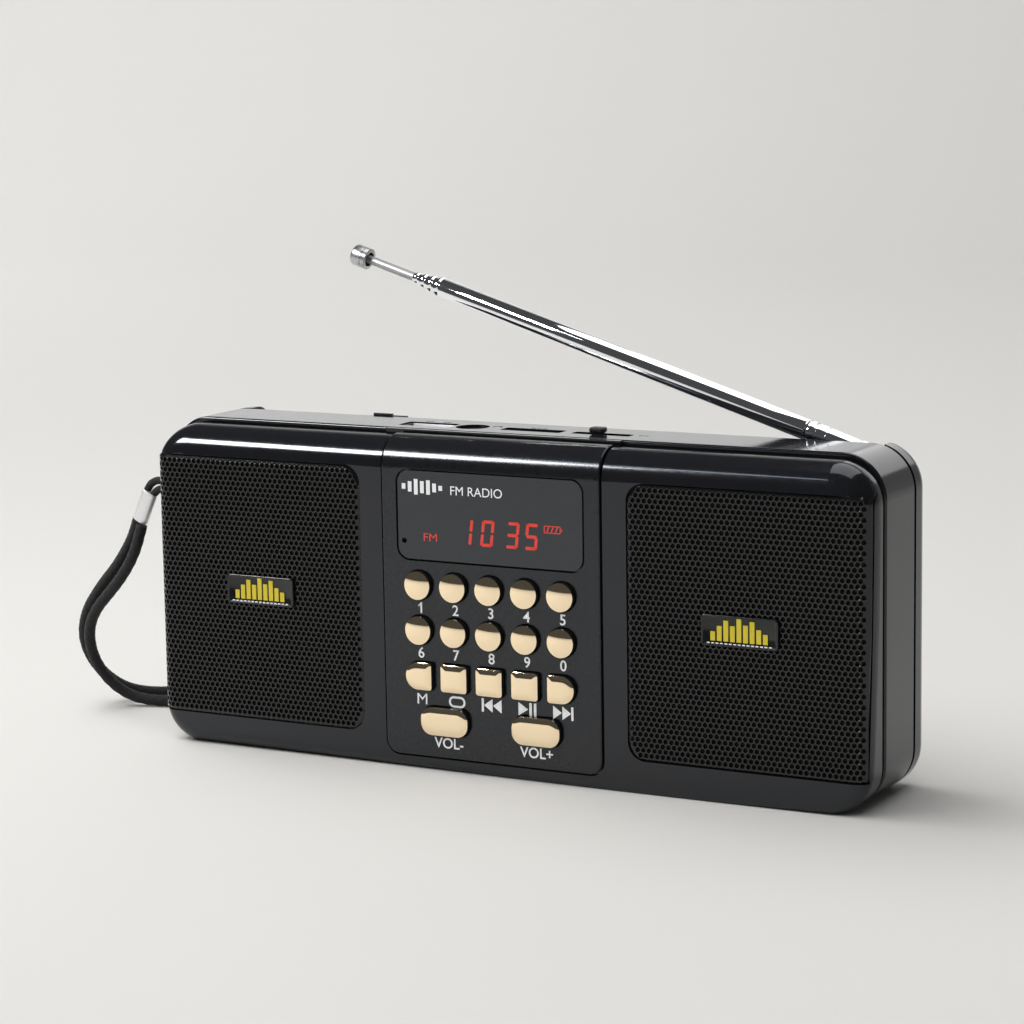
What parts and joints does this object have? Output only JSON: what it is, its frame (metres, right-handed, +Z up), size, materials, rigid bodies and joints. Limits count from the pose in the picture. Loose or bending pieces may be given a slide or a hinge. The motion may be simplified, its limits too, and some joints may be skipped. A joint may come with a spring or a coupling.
{
  "type": "tabletop radio",
  "caption": "Portable tabletop radio with twin speaker grilles, keypad and display panel, top sockets, folding telescopic antenna and wrist strap.",
  "frame": {"origin": "on the surface the radio stands on, under the middle of its casing", "axes": "+X to the user's right along the casing, +Y from the front panel towards the back, +Z up"},
  "size_m": [0.2435, 0.0718, 0.1291],
  "materials": {
    "casing": "polished black ABS",
    "grille": "satin black, perforated sheet",
    "badge": "yellow on black",
    "panel": "polished black ABS",
    "window": "smoked acrylic",
    "display": "seven-segment display block",
    "key": "gold-plated plastic cap on a black skirt",
    "board": "green circuit board",
    "switch_can": "moulded black",
    "plated_steel": "nickel-plated",
    "black_plastic": "matt black",
    "speaker_frame": "pressed steel, painted",
    "speaker_cone": "doped paper",
    "magnet": "ferrite",
    "battery": "shrink-wrapped pouch cell",
    "antenna_chrome": "polished chrome plate",
    "cord": "woven black cord",
    "ferrule": "crimped bright metal"
  },
  "bodies": {
    "radio": {"front_shell": "casing", "middle_band": "casing", "rear_cover": "casing", "left_grille": "grille", "right_grille": "grille", "left_badge": "badge", "right_badge": "badge", "control_panel": "panel", "display_window": "window", "display_module": "display", "key_board": "board", "tact_switches": "switch_can", "main_board": "board", "usb_socket": "plated_steel", "card_slot": "plated_steel", "aux_jack": "black_plastic", "charge_socket": "plated_steel", "switch_body": "switch_can", "left_speaker_frame": "speaker_frame", "left_speaker_cone": "speaker_cone", "left_speaker_magnet": "magnet", "right_speaker_frame": "speaker_frame", "right_speaker_cone": "speaker_cone", "right_speaker_magnet": "magnet", "battery": "battery", "case_screws": "plated_steel", "speaker_screws": "plated_steel", "strap_pin": "plated_steel", "strap_tether": "cord", "strap_ferrule": "ferrule", "strap_loop": "cord"},
    "key_1": {"key_1": "key"},
    "key_2": {"key_2": "key"},
    "key_3": {"key_3": "key"},
    "key_4": {"key_4": "key"},
    "key_5": {"key_5": "key"},
    "key_6": {"key_6": "key"},
    "key_7": {"key_7": "key"},
    "key_8": {"key_8": "key"},
    "key_9": {"key_9": "key"},
    "key_0": {"key_0": "key"},
    "key_mode": {"key_mode": "key"},
    "key_repeat": {"key_repeat": "key"},
    "key_previous": {"key_previous": "key"},
    "key_play": {"key_play": "key"},
    "key_next": {"key_next": "key"},
    "key_volume_down": {"key_volume_down": "key"},
    "key_volume_up": {"key_volume_up": "key"},
    "switch_knob": {"switch_knob": "black_plastic"},
    "battery_door": {"battery_door": "casing"},
    "antenna_swivel": {"antenna_base": "antenna_chrome", "antenna_pin": "plated_steel"},
    "antenna_mast": {"antenna_knuckle": "antenna_chrome", "antenna_tube_1": "antenna_chrome"},
    "antenna_section_2": {"antenna_tube_2": "antenna_chrome"},
    "antenna_section_3": {"antenna_tube_3": "antenna_chrome"},
    "antenna_section_4": {"antenna_tube_4": "antenna_chrome"},
    "antenna_section_5": {"antenna_rod": "plated_steel", "antenna_tip": "antenna_chrome"}
  },
  "joints": [
    {"name": "key_1_press", "type": "slide", "parent": "radio", "child": "key_1", "axis": [0, 1, 0], "range_m": [0, 0.0006], "stiffness_N_per_m": 300},
    {"name": "key_2_press", "type": "slide", "parent": "radio", "child": "key_2", "axis": [0, 1, 0], "range_m": [0, 0.0006], "stiffness_N_per_m": 300},
    {"name": "key_3_press", "type": "slide", "parent": "radio", "child": "key_3", "axis": [0, 1, 0], "range_m": [0, 0.0006], "stiffness_N_per_m": 300},
    {"name": "key_4_press", "type": "slide", "parent": "radio", "child": "key_4", "axis": [0, 1, 0], "range_m": [0, 0.0006], "stiffness_N_per_m": 300},
    {"name": "key_5_press", "type": "slide", "parent": "radio", "child": "key_5", "axis": [0, 1, 0], "range_m": [0, 0.0006], "stiffness_N_per_m": 300},
    {"name": "key_6_press", "type": "slide", "parent": "radio", "child": "key_6", "axis": [0, 1, 0], "range_m": [0, 0.0006], "stiffness_N_per_m": 300},
    {"name": "key_7_press", "type": "slide", "parent": "radio", "child": "key_7", "axis": [0, 1, 0], "range_m": [0, 0.0006], "stiffness_N_per_m": 300},
    {"name": "key_8_press", "type": "slide", "parent": "radio", "child": "key_8", "axis": [0, 1, 0], "range_m": [0, 0.0006], "stiffness_N_per_m": 300},
    {"name": "key_9_press", "type": "slide", "parent": "radio", "child": "key_9", "axis": [0, 1, 0], "range_m": [0, 0.0006], "stiffness_N_per_m": 300},
    {"name": "key_0_press", "type": "slide", "parent": "radio", "child": "key_0", "axis": [0, 1, 0], "range_m": [0, 0.0006], "stiffness_N_per_m": 300},
    {"name": "key_mode_press", "type": "slide", "parent": "radio", "child": "key_mode", "axis": [0, 1, 0], "range_m": [0, 0.0006], "stiffness_N_per_m": 300},
    {"name": "key_repeat_press", "type": "slide", "parent": "radio", "child": "key_repeat", "axis": [0, 1, 0], "range_m": [0, 0.0006], "stiffness_N_per_m": 300},
    {"name": "key_previous_press", "type": "slide", "parent": "radio", "child": "key_previous", "axis": [0, 1, 0], "range_m": [0, 0.0006], "stiffness_N_per_m": 300},
    {"name": "key_play_press", "type": "slide", "parent": "radio", "child": "key_play", "axis": [0, 1, 0], "range_m": [0, 0.0006], "stiffness_N_per_m": 300},
    {"name": "key_next_press", "type": "slide", "parent": "radio", "child": "key_next", "axis": [0, 1, 0], "range_m": [0, 0.0006], "stiffness_N_per_m": 300},
    {"name": "key_volume_down_press", "type": "slide", "parent": "radio", "child": "key_volume_down", "axis": [0, 1, 0], "range_m": [0, 0.0006], "stiffness_N_per_m": 300},
    {"name": "key_volume_up_press", "type": "slide", "parent": "radio", "child": "key_volume_up", "axis": [0, 1, 0], "range_m": [0, 0.0006], "stiffness_N_per_m": 300},
    {"name": "mode_switch_slide", "type": "slide", "parent": "radio", "child": "switch_knob", "axis": [1, 0, 0], "range_m": [-0.004, 0.006]},
    {"name": "battery_door_hinge", "type": "hinge", "parent": "radio", "child": "battery_door", "pos_m": [0, 0.0181, 0.0134], "axis": [-1, 0, 0], "range_deg": [0, 75]},
    {"name": "antenna_swivel_turn", "type": "hinge", "parent": "radio", "child": "antenna_swivel", "pos_m": [0.088, 0.0145, 0.0808], "axis": [0, 0, -1], "range_deg": [0, 90]},
    {"name": "antenna_tilt", "type": "hinge", "parent": "antenna_swivel", "child": "antenna_mast", "pos_m": [0.088, 0.0145, 0.0808], "axis": [0, 1, 0], "range_deg": [-17.4, 72.6]},
    {"name": "antenna_section_2_slide", "type": "slide", "parent": "antenna_mast", "child": "antenna_section_2", "axis": [-0.954, 0, 0.2997], "range_m": [0, 0.095]},
    {"name": "antenna_section_3_slide", "type": "slide", "parent": "antenna_section_2", "child": "antenna_section_3", "axis": [-0.954, 0, 0.2997], "range_m": [0, 0.095]},
    {"name": "antenna_section_4_slide", "type": "slide", "parent": "antenna_section_3", "child": "antenna_section_4", "axis": [-0.954, 0, 0.2997], "range_m": [0, 0.095]},
    {"name": "antenna_section_5_slide", "type": "slide", "parent": "antenna_section_4", "child": "antenna_section_5", "axis": [-0.954, 0, 0.2997], "range_m": [-0.013, 0.08]}
  ]
}
